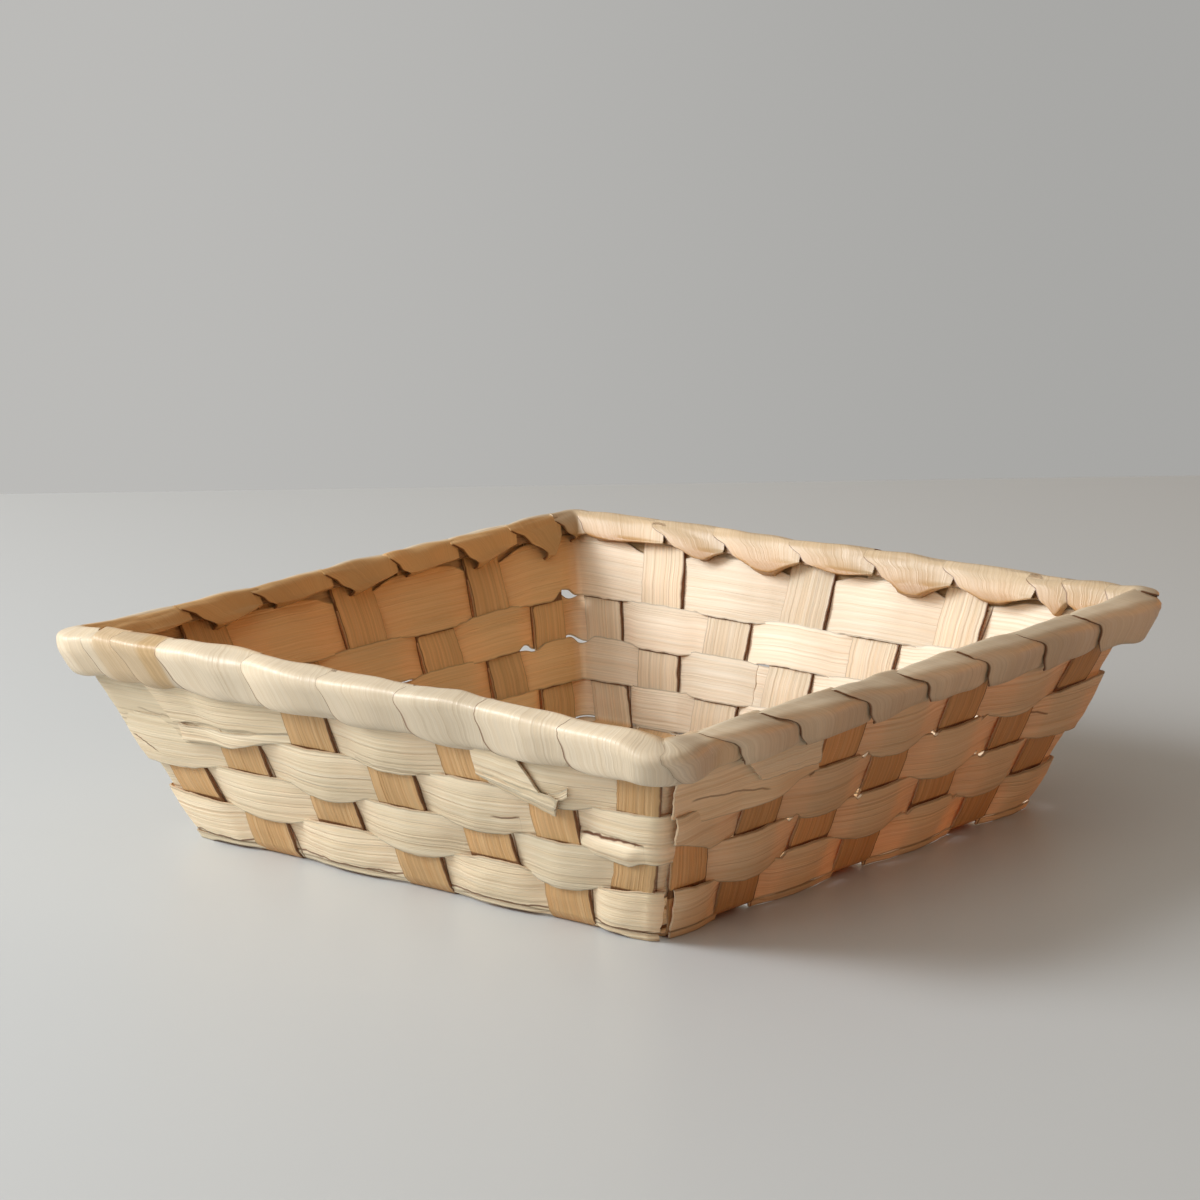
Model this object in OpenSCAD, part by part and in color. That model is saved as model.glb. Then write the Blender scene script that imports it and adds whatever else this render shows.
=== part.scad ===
// Square open basket woven from flat wood splints.
// Two sets of seven stakes cross in the base and turn up the four walls.
// Five weavers run round the walls, and two hoops clamp the top edge
// under a splint lashing that is wound round and round the rim.
// Z is up. The origin is the centre of the base, on the surface it stands on.

/* [Basket] */
// Side of the square base, between the mid-planes of the stakes
base_side = 187; // [180:1:200]
// Outward run of the walls for each unit of height
flare = 0.4; // [0.36:0.01:0.44]
// Radius of the corners at the mid-plane of the wall
corner_r = 5.5; // [5:0.5:7]

/* [Splints] */
// Thickness of the stakes
stake_t = 0.9; // [0.6:0.1:1]
// Width of the widest stakes
stake_w = 18.5; // [16:0.5:18.5]
// Thickness of the weavers
weaver_t = 0.8; // [0.5:0.1:0.9]
// Gap between a stake and the weaver that crosses it
weave_gap = 0.1; // [0.05:0.05:0.2]

/* [Rim] */
// Half thickness of the finished rim, to the middle of the lashing
rim_a = 4.2; // [4.2:0.1:5]
// Half height of the finished rim, to the middle of the lashing
rim_b = 6.6; // [6.4:0.05:8]
// Thickness of the lashing splint
lash_t = 0.8; // [0.5:0.1:0.8]
// Share of each lashing turn that the splint covers
lash_cover = 0.95; // [0.8:0.01:0.97]

/* [Hidden] */
hb = base_side / 2;
cs = 1 / sqrt(1 + flare * flare);
sn = flare * cs;

// Stake positions at the foot of each wall, and how far each one leans
// sideways for each unit of height. Front and back are along X, left and
// right are along Y.
front_x = [-78, -57, -23.5, 6.5, 39, 62.5, 80.5];
back_x  = [-79.5, -60.5, -37.5, -10.5, 21, 50, 78.5];
right_y = [-79.5, -59, -31, -2.5, 29.5, 58, 79];
left_y  = [-79.5, -61, -31.5, 2.5, 34, 60, 79.5];
front_lean = [-0.3, 0, 0, 0, 0, 0.12, 0.4];
back_lean  = [-0.4, -0.24, -0.08, 0, 0, 0.05, 0.3];
right_lean = [-0.35, -0.06, 0, 0, 0, 0.1, 0.35];
left_lean  = [-0.35, -0.08, 0, 0, 0, 0.1, 0.3];
fb_w = [stake_w - 2, stake_w - 0.5, stake_w, stake_w, stake_w, stake_w - 1.5, stake_w - 3.5];
lr_w = [stake_w - 2.5, stake_w - 0.5, stake_w, stake_w, stake_w, stake_w - 1.5, stake_w - 2.5];

stake_top = 72.6;          // slope length from the base to the stakes' ends
fold_s = 3.5;              // slope length where a stake leaves its fold
row_s = [9.4, 23.1, 37.8, 52.4, 66.8];   // slope positions of the weavers
row_h = [5.8, 7, 7, 7, 5.3];             // half widths between stakes
row_more = [1.6, 1.6, 1.6, 1.6, 0];      // extra half width on a stake
rim_s = 67.0;             // slope position of the middle of the rim
low_z = stake_t / 2;
high_z = stake_t * 1.5 + weave_gap;
wn = stake_t / 2 + weave_gap + weaver_t / 2;

// A point of the wall: n is out from its mid-plane, s is up the slope
function out_h(n, s) = hb + sn * s + cs * n;
function up_z(n, s) = cs * s - sn * n;
function flat_end(s) = hb + sn * s - corner_r;

function turn(p, side) =
    side == 0 ? p :
    side == 1 ? [-p[1], p[0], p[2]] :
    side == 2 ? [-p[0], -p[1], p[2]] :
                [p[1], -p[0], p[2]];
function wall_pt(side, q, n, s) = turn([q, -out_h(n, s), up_z(n, s)], side);
function corner_pt(side, a, n, s) =
    let (c = flat_end(s), r = corner_r + cs * n)
    turn([c + r * sin(a), -(c + r * cos(a)), up_z(n, s)], side);

// Ribbon solid through a list of sections; each section is a closed loop
// of the same number of points
module ribbon(secs, closed = false) {
    n = len(secs);
    m = len(secs[0]);
    pts = [for (q = secs) each q];
    last = closed ? n - 1 : n - 2;
    sides = [for (i = [0:last]) for (j = [0:m - 1])
        let (i2 = (i + 1) % n, j2 = (j + 1) % m,
             a = i * m + j, b = i * m + j2, c = i2 * m + j2, d = i2 * m + j)
        each [[a, b, c], [a, c, d]]];
    h = m / 2;
    caps = closed ? [] : concat(
        [for (j = [0:h - 2]) each [[j, m - 1 - j, j + 1], [j + 1, m - 1 - j, m - 2 - j]]],
        [for (j = [0:h - 2]) let (o = (n - 1) * m)
            each [[o + j, o + j + 1, o + m - 1 - j], [o + j + 1, o + m - 2 - j, o + m - 1 - j]]]);
    polyhedron(points = pts, faces = concat(sides, caps), convexity = 10);
}

// Stakes. A stake runs along a, from one wall to the opposite one, and its
// place across is q. The stakes that it crosses have their own a at both ends.
function over(i, j) = (i + j) % 2 == 0;
function cross_a(ma, ka, mq, kq) = (ma + ka * mq) / (1 - ka * kq);

function stake_path(q0, q1, lean0, lean1, w, c0, c1, cw, number, flip) =
    let (
        mq = (q0 + q1) / 2, kq = (q1 - q0) / 2 / hb,
        ca = [for (i = [0:6]) let (ma = (c0[i] + c1[i]) / 2, ka = (c1[i] - c0[i]) / 2 / hb)
            cross_a(ma, ka, mq, kq)],
        hold = [for (i = [0:6]) let (ka = (c1[i] - c0[i]) / 2 / hb)
            cw[i] / 2 + 0.25 + abs(ka) * w / 2],
        z = [for (i = [0:6]) (over(i + 1, number) != flip) ? high_z : low_z],
        top_h = hb + sn * stake_top
    )
    concat(
        [[-top_h, cs * stake_top, -cs, -sn, q0 + lean0 * cs * stake_top],
         [-(hb + sn * fold_s), cs * fold_s, -cs, -sn, q0 + lean0 * cs * fold_s],
         [-(hb - 0.35), 1.35 + (z[0] - low_z) * 0.6, -0.62, -0.785, q0],
         [-(hb - 2.3), z[0], 0, -1, mq - kq * (hb - 2.3)]],
        [for (i = [0:6]) each [
            [ca[i] - hold[i], z[i], 0, -1, mq + kq * (ca[i] - hold[i])],
            [ca[i] + hold[i], z[i], 0, -1, mq + kq * (ca[i] + hold[i])]]],
        [[hb - 2.3, z[6], 0, -1, mq + kq * (hb - 2.3)],
         [hb - 0.35, 1.35 + (z[6] - low_z) * 0.6, 0.62, -0.785, q1],
         [hb + sn * fold_s, cs * fold_s, cs, -sn, q1 + lean1 * cs * fold_s],
         [top_h, cs * stake_top, cs, -sn, q1 + lean1 * cs * stake_top]]
    );

module stake(path, w, along_y) {
    e = stake_t / 2;
    secs = [for (p = path)
        let (a1 = p[0] + p[2] * e, z1 = p[1] + p[3] * e,
             a2 = p[0] - p[2] * e, z2 = p[1] - p[3] * e,
             l = p[4] - w / 2, r = p[4] + w / 2)
        along_y ? [[l, a1, z1], [r, a1, z1], [r, a2, z2], [l, a2, z2]]
                : [[a1, r, z1], [a1, l, z1], [a2, l, z2], [a2, r, z2]]];
    color("burlywood") ribbon(secs);
}

module front_back_stake(k) {
    stake(stake_path(front_x[k], back_x[k], front_lean[k], back_lean[k], fb_w[k],
                     left_y, right_y, lr_w, k + 1, false), fb_w[k], true);
}
module left_right_stake(k) {
    stake(stake_path(left_y[k], right_y[k], left_lean[k], right_lean[k], lr_w[k],
                     front_x, back_x, fb_w, k + 1, true), lr_w[k], false);
}

// The stakes of one wall, in order along that wall
function wall_q(side) =
    side == 0 ? front_x : side == 1 ? right_y :
    side == 2 ? [for (i = [6:-1:0]) -back_x[i]] : [for (i = [6:-1:0]) -left_y[i]];
function wall_lean(side) =
    side == 0 ? front_lean : side == 1 ? right_lean :
    side == 2 ? [for (i = [6:-1:0]) -back_lean[i]] : [for (i = [6:-1:0]) -left_lean[i]];
function wall_w(side) =
    side == 0 ? fb_w : side == 1 ? lr_w :
    side == 2 ? [for (i = [6:-1:0]) fb_w[i]] : [for (i = [6:-1:0]) lr_w[i]];

// Weavers. Row 0 is the lowest. A weaver is outside a stake when the
// stake's number plus the row is even, counting stakes from 0.
function weave_side(i, row) = (i + row) % 2 == 0 ? 1 : -1;

function weaver_wall(side, row) =
    let (
        q = wall_q(side), ln = wall_lean(side), w = wall_w(side),
        sc = row_s[row], hw = row_h[row], mo = row_more[row],
        lo = function (x) row == 0 ? sc - hw : sc - hw - x,
        hi = function (x) sc + hw + x,
        at = function (i, s) q[i] + ln[i] * cs * s,
        gapw = function (i, s) (at(i + 1, s) - w[i + 1] / 2) - (at(i, s) + w[i] / 2),
        off = function (i, s) min(0.5, 0.12 * gapw(i, s)),
        sec = function (f, n, x)
            let (a = lo(x), b = hi(x))
            [wall_pt(side, f(a), n - weaver_t / 2, a), wall_pt(side, f(a), n + weaver_t / 2, a),
             wall_pt(side, f(b), n + weaver_t / 2, b), wall_pt(side, f(b), n - weaver_t / 2, b)],
        csec = function (ang, n, x)
            let (a = lo(x), b = hi(x))
            [corner_pt(side, ang, n - weaver_t / 2, a), corner_pt(side, ang, n + weaver_t / 2, a),
             corner_pt(side, ang, n + weaver_t / 2, b), corner_pt(side, ang, n - weaver_t / 2, b)]
    )
    [for (i = [0:6])
        let (n = wn * weave_side(i, row))
        each concat(
            i == 0 ? [] : [sec(function (s) at(i, s) - w[i] / 2 - off(i - 1, s), n, mo * 0.2)],
            [sec(function (s) at(i, s), n, mo)],
            i == 6 ? [] : [sec(function (s) at(i, s) + w[i] / 2 + off(i, s), n, mo * 0.2)],
            i == 6 ? [for (ang = [0, 30, 60, 90]) csec(ang, n, mo * 0.2)]
                   : [sec(function (s) (at(i, s) + w[i] / 2 + at(i + 1, s) - w[i + 1] / 2) / 2, 0, 0)]
        )];

module weaver(row) {
    color("wheat") ribbon([for (side = [0:3]) each weaver_wall(side, row)], true);
}

// Rim hoops, one on each face of the wall's top edge
module hoop(n1, n2) {
    s1 = 61.7;
    s2 = 72.3;
    function sec(side, a) = [corner_pt(side, a, n1, s1), corner_pt(side, a, n2, s1),
                             corner_pt(side, a, n2, s2), corner_pt(side, a, n1, s2)];
    color("tan") ribbon([for (side = [0:3]) for (a = [0, 22.5, 45, 67.5, 90]) sec(side, a)], true);
}

// Lashing. Positions along the rim are lengths round the rim's middle.
mid_c = flat_end(rim_s);
arc_l = corner_r * PI / 2;
side_l = 2 * mid_c + arc_l;
pass_s = rim_s - rim_b;
function rim_pt(l, n, s) =
    let (k = floor(l / side_l), side = ((k % 4) + 4) % 4, t = l - k * side_l)
    t < 2 * mid_c
        ? wall_pt(side, (t - mid_c) * flat_end(s) / mid_c, n, s)
        : corner_pt(side, (t - 2 * mid_c) / arc_l * 90, n, s);
// The lashing goes through the wall in the gap between two stakes, and at
// the corners
function pass_list() = [for (side = [0:3]) each concat(
    [for (i = [0:5]) let (q = wall_q(side), ln = wall_lean(side), w = wall_w(side),
        a = q[i] + ln[i] * cs * pass_s + w[i] / 2,
        b = q[i + 1] + ln[i + 1] * cs * pass_s - w[i + 1] / 2)
        side * side_l + mid_c + (a + b) / 2 * mid_c / flat_end(pass_s)],
    [side * side_l + 2 * mid_c + arc_l / 2])];
passes = pass_list();
function pass_l(k) = let (m = ((k % 28) + 28) % 28, lap = floor(k / 28))
    passes[m] + lap * 4 * side_l;
function along(t) = let (k = floor(t)) pass_l(k) + (t - k) * (pass_l(k + 1) - pass_l(k));
function soft_pow(x, p) = sign(x) * pow(abs(x), p);
// angle round the rim, share of the turn gone by, half width in turns
lash_steps = [
    [-90, 0, 0.11], [-62, 0.04, 0.26], [-40, 0.12, 0.44], [-8, 0.32, 0.5],
    [28, 0.5, 0.5], [58, 0.62, 0.5], [80, 0.67, 0.5], [100, 0.7, 0.5],
    [125, 0.74, 0.5], [160, 0.8, 0.5], [198, 0.87, 0.5], [222, 0.93, 0.44],
    [242, 0.97, 0.26]];
module lashing(side) {
    cols = 4;
    first = side * 7 + 6;
    steps = concat(
        [for (k = [0:6]) for (st = lash_steps) [st[0], first - k - st[1], min(st[2], 0.5 * lash_cover)]],
        [[270, first - 7, 0.11]]);
    n_st = len(steps);
    secs = [for (i = [0:n_st - 1])
        let (st = steps[i],
             // the two ends stop just short of the wall's mid-plane
             sh = i == 0 ? 0.5 : i == n_st - 1 ? -0.5 : 0,
             cn = soft_pow(cos(st[0]), 0.5), sv = soft_pow(sin(st[0]), 0.5),
             pt = function (j, o) let (t = st[1] + st[2] * (2 * j / cols - 1))
                 rim_pt(along(t), (rim_a + o) * cn + sh, rim_s + (rim_b + o) * sv))
        concat([for (j = [0:cols]) pt(j, -lash_t / 2)], [for (j = [cols:-1:0]) pt(j, lash_t / 2)])];
    color("cornsilk") ribbon(secs);
}

// Loose lashing ends that lie on the wall just under the rim
module tail(side, q1, q2, s_top, s1, s2) {
    n1 = wn + weaver_t / 2 + 0.25;
    n2 = n1 + 0.7;
    function sec(q, s, st) = [wall_pt(side, q, n1, s), wall_pt(side, q, n2, s),
                              wall_pt(side, q, n2, st), wall_pt(side, q, n1, st)];
    color("blanchedalmond") ribbon([sec(q1, s1, s_top), sec((q1 + q2) / 2, (s1 + s2) / 2 - 1, s_top), sec(q2, s2, s_top)]);
}

module front_back_stake_1() { front_back_stake(0); }
module front_back_stake_2() { front_back_stake(1); }
module front_back_stake_3() { front_back_stake(2); }
module front_back_stake_4() { front_back_stake(3); }
module front_back_stake_5() { front_back_stake(4); }
module front_back_stake_6() { front_back_stake(5); }
module front_back_stake_7() { front_back_stake(6); }
module left_right_stake_1() { left_right_stake(0); }
module left_right_stake_2() { left_right_stake(1); }
module left_right_stake_3() { left_right_stake(2); }
module left_right_stake_4() { left_right_stake(3); }
module left_right_stake_5() { left_right_stake(4); }
module left_right_stake_6() { left_right_stake(5); }
module left_right_stake_7() { left_right_stake(6); }
module weaver_row_1() { weaver(0); }
module weaver_row_2() { weaver(1); }
module weaver_row_3() { weaver(2); }
module weaver_row_4() { weaver(3); }
module weaver_row_5_in_rim() { weaver(4); }
module inner_rim_hoop() { hoop(-3, -1.5); }
module outer_rim_hoop() { hoop(1.5, 3); }
module rim_lashing_front() { lashing(0); }
module rim_lashing_right() { lashing(1); }
module rim_lashing_back() { lashing(2); }
module rim_lashing_left() { lashing(3); }
module lashing_tail_front() { tail(0, 70, 90, 58.5, 45, 50); }
module lashing_tail_right() { tail(1, -88, -58, 58.5, 53, 47); }

front_back_stake_1();
front_back_stake_2();
front_back_stake_3();
front_back_stake_4();
front_back_stake_5();
front_back_stake_6();
front_back_stake_7();
left_right_stake_1();
left_right_stake_2();
left_right_stake_3();
left_right_stake_4();
left_right_stake_5();
left_right_stake_6();
left_right_stake_7();
weaver_row_1();
weaver_row_2();
weaver_row_3();
weaver_row_4();
weaver_row_5_in_rim();
inner_rim_hoop();
outer_rim_hoop();
rim_lashing_front();
rim_lashing_right();
rim_lashing_back();
rim_lashing_left();
lashing_tail_front();
lashing_tail_right();
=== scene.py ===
import math

import bpy
import numpy as np
from mathutils import Matrix, Vector


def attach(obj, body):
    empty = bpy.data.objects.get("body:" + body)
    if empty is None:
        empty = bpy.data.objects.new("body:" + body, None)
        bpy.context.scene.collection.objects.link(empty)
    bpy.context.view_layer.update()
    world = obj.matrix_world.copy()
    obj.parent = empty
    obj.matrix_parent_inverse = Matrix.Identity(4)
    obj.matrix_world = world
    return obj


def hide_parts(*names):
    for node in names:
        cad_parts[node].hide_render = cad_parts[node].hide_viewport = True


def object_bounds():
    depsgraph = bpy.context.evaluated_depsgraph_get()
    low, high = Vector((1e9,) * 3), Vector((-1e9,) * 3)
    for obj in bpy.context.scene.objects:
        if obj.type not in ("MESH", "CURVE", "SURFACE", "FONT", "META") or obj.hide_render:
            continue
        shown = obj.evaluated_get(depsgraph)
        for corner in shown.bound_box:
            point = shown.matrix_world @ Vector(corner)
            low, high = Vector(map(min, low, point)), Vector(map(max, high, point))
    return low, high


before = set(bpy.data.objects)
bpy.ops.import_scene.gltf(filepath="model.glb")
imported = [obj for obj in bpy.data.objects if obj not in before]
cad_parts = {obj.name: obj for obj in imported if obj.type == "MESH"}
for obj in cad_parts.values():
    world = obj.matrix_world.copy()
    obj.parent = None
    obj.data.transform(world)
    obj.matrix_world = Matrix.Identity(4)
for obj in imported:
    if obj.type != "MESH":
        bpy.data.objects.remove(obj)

cad_lo, cad_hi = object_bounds()

# ---------------------------------------------------------------- sizes, in millimetres
flare = 0.4
cs = 1 / math.sqrt(1 + flare * flare)
sn = flare * cs
corner_r = 5.5
stake_t, weaver_t, lash_t = 0.9, 0.7, 0.5
rim_a, rim_b, rim_s = 4.2, 6.6, 67.0
row_s = [9.4, 23.1, 37.8, 52.4, 66.8]
fold_r = 3.2  # how sharply the woven strips turn the corners


def soft_pow(x, p):
    return np.sign(x) * np.abs(x) ** p


_a = np.radians(np.arange(0, 360, 0.5))
_reach = np.max(sn * (rim_s + (rim_b + 0.95) * soft_pow(np.sin(_a), 0.5)) + cs * (rim_a + 0.95) * soft_pow(np.cos(_a), 0.5))
hb = cad_hi.x * 1000 - _reach  # half the base, at the stakes' plane

front_x = [-78, -57, -23.5, 6.5, 39, 62.5, 80.5]
back_x = [-79.5, -60.5, -37.5, -10.5, 21, 50, 78.5]
right_y = [-79.5, -59, -31, -2.5, 29.5, 58, 79]
left_y = [-79.5, -61, -31.5, 2.5, 34, 60, 79.5]
front_lean = [-0.3, 0, 0, 0, 0, 0.12, 0.4]
back_lean = [-0.4, -0.24, -0.08, 0, 0, 0.05, 0.3]
right_lean = [-0.35, -0.06, 0, 0, 0, 0.1, 0.35]
left_lean = [-0.35, -0.08, 0, 0, 0, 0.1, 0.3]
front_more = [0, 0, 0, 0, 0, 1.5, 4]  # how much further along the wall a stake stands than its plain lean
back_more = [-2, -1, 0, 0, 0, 0, 0]
right_more = [-1.5, -1, 0, 0, 0, 1.5, -3]
left_more = [0, 0, 0, 0, 0, 0, 0]
fb_w = [16.5, 18, 18.5, 18.5, 18.5, 17, 15]
lr_w = [16, 18, 18.5, 18.5, 18.5, 17, 16]

# the same, as each wall sees it from outside, left to right
wall_pos = [front_x, right_y, [-x for x in back_x[::-1]], [-y for y in left_y[::-1]]]
wall_lean = [front_lean, right_lean, [-x for x in back_lean[::-1]], [-y for y in left_lean[::-1]]]
wall_more = [front_more, right_more, [-x for x in back_more[::-1]], [-y for y in left_more[::-1]]]
wall_w = [fb_w, lr_w, fb_w[::-1], lr_w[::-1]]
painted_shade_per_wall = [0.5, 0.3, 0.08, 1.0]  # how much the wood's inside face on each wall is painted darker orange, as painted shade standing for glow through the wood and bounce light
painted_shade_per_wall_out = [0.0, 0.3, 0.1, 0.0]  # and its outside face


def smooth(x):
    x = np.clip(x, 0, 1)
    return x * x * (3 - 2 * x)


def stake_q(side, i, s):
    return wall_pos[side][i] + wall_lean[side][i] * cs * s + wall_more[side][i] * smooth(np.asarray(s, float) / 25)


def flat_end(s):
    return hb + sn * s - corner_r


def up_z(n, s):
    return cs * s - sn * n


def wall(side, q, n, s, cr=corner_r):
    """Points on a wall: q along it from its middle, n out of the stakes' plane, s up the slope. Past the flat part it follows the corner, of radius cr."""
    side, q, n, s = np.broadcast_arrays(np.asarray(side), np.asarray(q, float), np.asarray(n, float), np.asarray(s, float))
    half = hb + sn * s - cr
    over = np.clip(np.abs(q) - half, 0, None)
    a = np.clip(over / cr, 0, math.pi / 2)
    r = np.maximum(cr + cs * n, 0.25)
    past = np.clip(over - cr * math.pi / 2, 0, None)
    x = np.sign(q) * (np.minimum(np.abs(q), half) + r * np.sin(a))
    y = -(half + r * np.cos(a)) + past
    c = np.array([1, 0, -1, 0])[side]
    d = np.array([0, 1, 0, -1])[side]
    return np.stack([x * c - y * d, x * d + y * c, up_z(n, s)], -1)


def side_len(s0, cr=corner_r):
    return 2 * (hb + sn * s0 - cr) + cr * math.pi / 2


def ring(l, n, s, s0, cr=corner_r):
    """Points round all four walls, l being the length round at height s0, from the middle of the front."""
    l, n, s = np.broadcast_arrays(np.asarray(l, float), np.asarray(n, float), np.asarray(s, float))
    h0, full = hb + sn * s0 - cr, side_len(s0, cr)
    k = np.floor((l + full / 2) / full).astype(int)
    q = l - k * full
    h = hb + sn * s - cr
    qa = np.abs(q)
    q2 = np.where(qa <= h0, qa * h / h0, h + qa - h0) * np.sign(q)
    return wall(k % 4, q2, n, s, cr)


rim_full = side_len(rim_s)
_sag_l = np.array([-100, -50, 0, 50, 80, 105, 117, 135, 176, 218, 258, 296, 325, 352, 470, 587, 610, 700, 800, 822, 850, 890], float)
_sag_v = np.array([1.4, 1.5, 1.3, 1.1, 0.2, -0.9, -2.6, -2.5, -1.5, -2.4, -1.3, -1.2, -0.5, 1.0, 1.0, 0.8, 0.6, -0.3, -1.6, -0.5, 0.9, 1.4])


def rim_sag(l):
    """How far the top of the rim stands above or below its even height."""
    x = np.mod(np.asarray(l) + 100, 4 * rim_full) - 100
    return np.interp(x, np.append(_sag_l, 4 * rim_full - 100), np.append(_sag_v, _sag_v[0])) - 0.3


def wob(x, seed, size, octaves=3):
    """A smooth seeded wander of a number or array, about -1 to 1, with bumps of the given length."""
    rng = np.random.default_rng(seed)
    x = np.asarray(x, float)
    out, total = np.zeros_like(x), 0.0
    for o in range(octaves):
        amp = 0.55 ** o
        for _ in range(3):
            f = (0.7 + 0.7 * rng.random()) * 2 ** o / size
            out = out + amp * np.sin(2 * math.pi * (x * f + rng.random()))
        total += amp * 1.9
    return out / total


def wob2(x, y, seed, sx, sy):
    rng = np.random.default_rng(seed)
    x, y = np.asarray(x, float), np.asarray(y, float)
    out = 0
    for _ in range(7):
        ang = rng.random() * 2 * math.pi
        fx, fy = math.cos(ang) * (0.5 + rng.random()) / sx, math.sin(ang) * (0.5 + rng.random()) / sy
        out = out + np.sin(2 * math.pi * (x * fx + y * fy + rng.random()))
    return out / 3.7


def gauss(y, sigma):
    r = max(1, int(3 * sigma))
    k = np.exp(-0.5 * (np.arange(-r, r + 1) / sigma) ** 2)
    k /= k.sum()
    return np.convolve(np.pad(y, r, mode="edge"), k, mode="valid")


# ---------------------------------------------------------------- mesh building
class Build:
    """Collects closed thin sheets into one mesh, with the lengthwise and crosswise place of each point kept for the material."""

    def __init__(self, name):
        self.name, self.co, self.faces = name, [], []
        self.at = {k: [] for k in ("along", "across", "tone", "edge", "line", "slit", "slitk", "dark", "pale", "painted_orange_shade")}
        self.n = 0

    def sheet(self, outer, inner, along, across, tone, edge=None, line=None, slit=None, slitk=None, dark=None, pale=None, painted_orange_shade=None):
        """edge is the distance to the strip's nearer side, line to a painted shade line on it, slit from a crack along
        it, in mm; slitk, dark, pale and the orange-tint share are shares, of which slitk and dark paint shade and the
        orange tint paints shade with glow. A pair of values is for the outer and the inner face.
        """
        m, k = outer.shape[:2]

        def both(v, other):
            pair = v if isinstance(v, tuple) else (v, v)
            return [np.broadcast_to(other if x is None else x, (m, k)) for x in pair]

        along, across = np.broadcast_to(along, (m, k)), np.broadcast_to(across, (m, k))
        if edge is None:
            edge = np.minimum(across - across.min(1, keepdims=True), across.max(1, keepdims=True) - across)
        idx = np.arange(m * k).reshape(m, k) + self.n
        a, b, c, d = idx[:-1, :-1], idx[1:, :-1], idx[1:, 1:], idx[:-1, 1:]
        top = np.stack([a, b, c, d], -1).reshape(-1, 4)
        low = np.stack([d, c, b, a], -1).reshape(-1, 4) + m * k
        rim = np.concatenate([idx[:, 0], idx[-1, 1:], idx[:-1, -1][::-1], idx[0, 1:-1][::-1]])
        nxt = np.roll(rim, -1)
        band = np.stack([nxt, rim, rim + m * k, nxt + m * k], -1)
        self.faces += [top, low, band]
        self.co += [outer.reshape(-1, 3), inner.reshape(-1, 3)]
        for key, v, other in (("along", along, 0), ("across", across, 0), ("edge", edge, 0), ("line", line, 9.0), ("slit", slit, 9.0), ("slitk", slitk, 0.0), ("dark", dark, 0.0), ("pale", pale, 0.0), ("painted_orange_shade", painted_orange_shade, 0.0)):
            self.at[key] += [x.ravel() for x in both(v, other)]
        self.at["tone"] += [np.full(2 * m * k, float(tone))]
        self.n += 2 * m * k

    def make(self, material, nodes):
        co = np.concatenate(self.co) * 0.001
        faces = np.concatenate(self.faces)
        me = bpy.data.meshes.new(self.name)
        me.from_pydata(co.tolist(), [], faces.tolist())
        me.validate()
        for key, parts in self.at.items():
            v = np.concatenate(parts)
            if key in ("along", "across"):
                v = v * 0.001
            att = me.attributes.new(key, "FLOAT", "POINT")
            att.data.foreach_set("value", v.astype(np.float32))
        me.polygons.foreach_set("use_smooth", [True] * len(me.polygons))
        me.update()
        me.set_sharp_from_angle(angle=math.radians(50))
        me.materials.append(material)
        ob = bpy.data.objects.new(self.name, me)
        bpy.context.scene.collection.objects.link(ob)
        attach(ob, "root")
        if nodes:
            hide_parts(*nodes)
        return ob


# ---------------------------------------------------------------- materials
def node(nt, kind, x=0, y=0, **values):
    n = nt.nodes.new(kind)
    n.location = (x, y)
    for key, v in values.items():
        setattr(n, key, v)
    return n


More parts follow.
